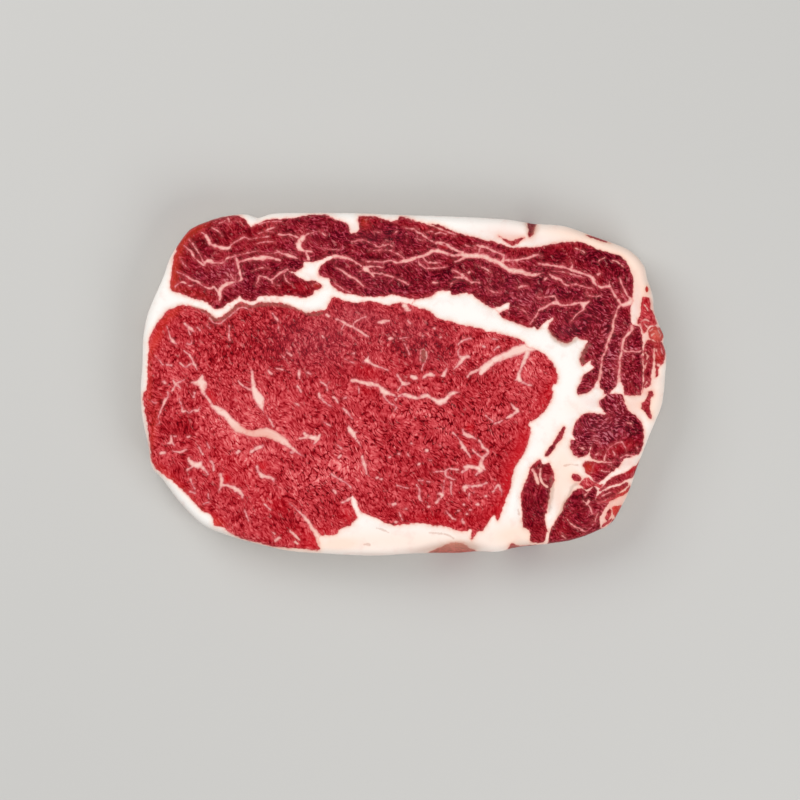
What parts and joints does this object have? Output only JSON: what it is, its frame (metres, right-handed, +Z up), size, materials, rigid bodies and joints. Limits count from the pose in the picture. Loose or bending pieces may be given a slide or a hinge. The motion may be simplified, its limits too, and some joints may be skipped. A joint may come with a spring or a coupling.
{
  "type": "ribeye steak",
  "caption": "Raw boneless ribeye steak, a flat slab with a large eye muscle, a curved cap muscle, small side muscles and seams and a rim of fat, lying flat as food for a plate or pan.",
  "frame": {"origin": "the middle of the lower cut face, on the surface that the steak lies on", "axes": "X along the steak's length, with the small side muscles at the positive end; Y across it, with the cap muscle at the positive side; Z up out of the shown cut face"},
  "size_m": [0.182, 0.1186, 0.0199],
  "materials": {
    "raw_beef": null
  },
  "bodies": {
    "root": {"ribeye_steak": "raw_beef"}
  },
  "joints": []
}
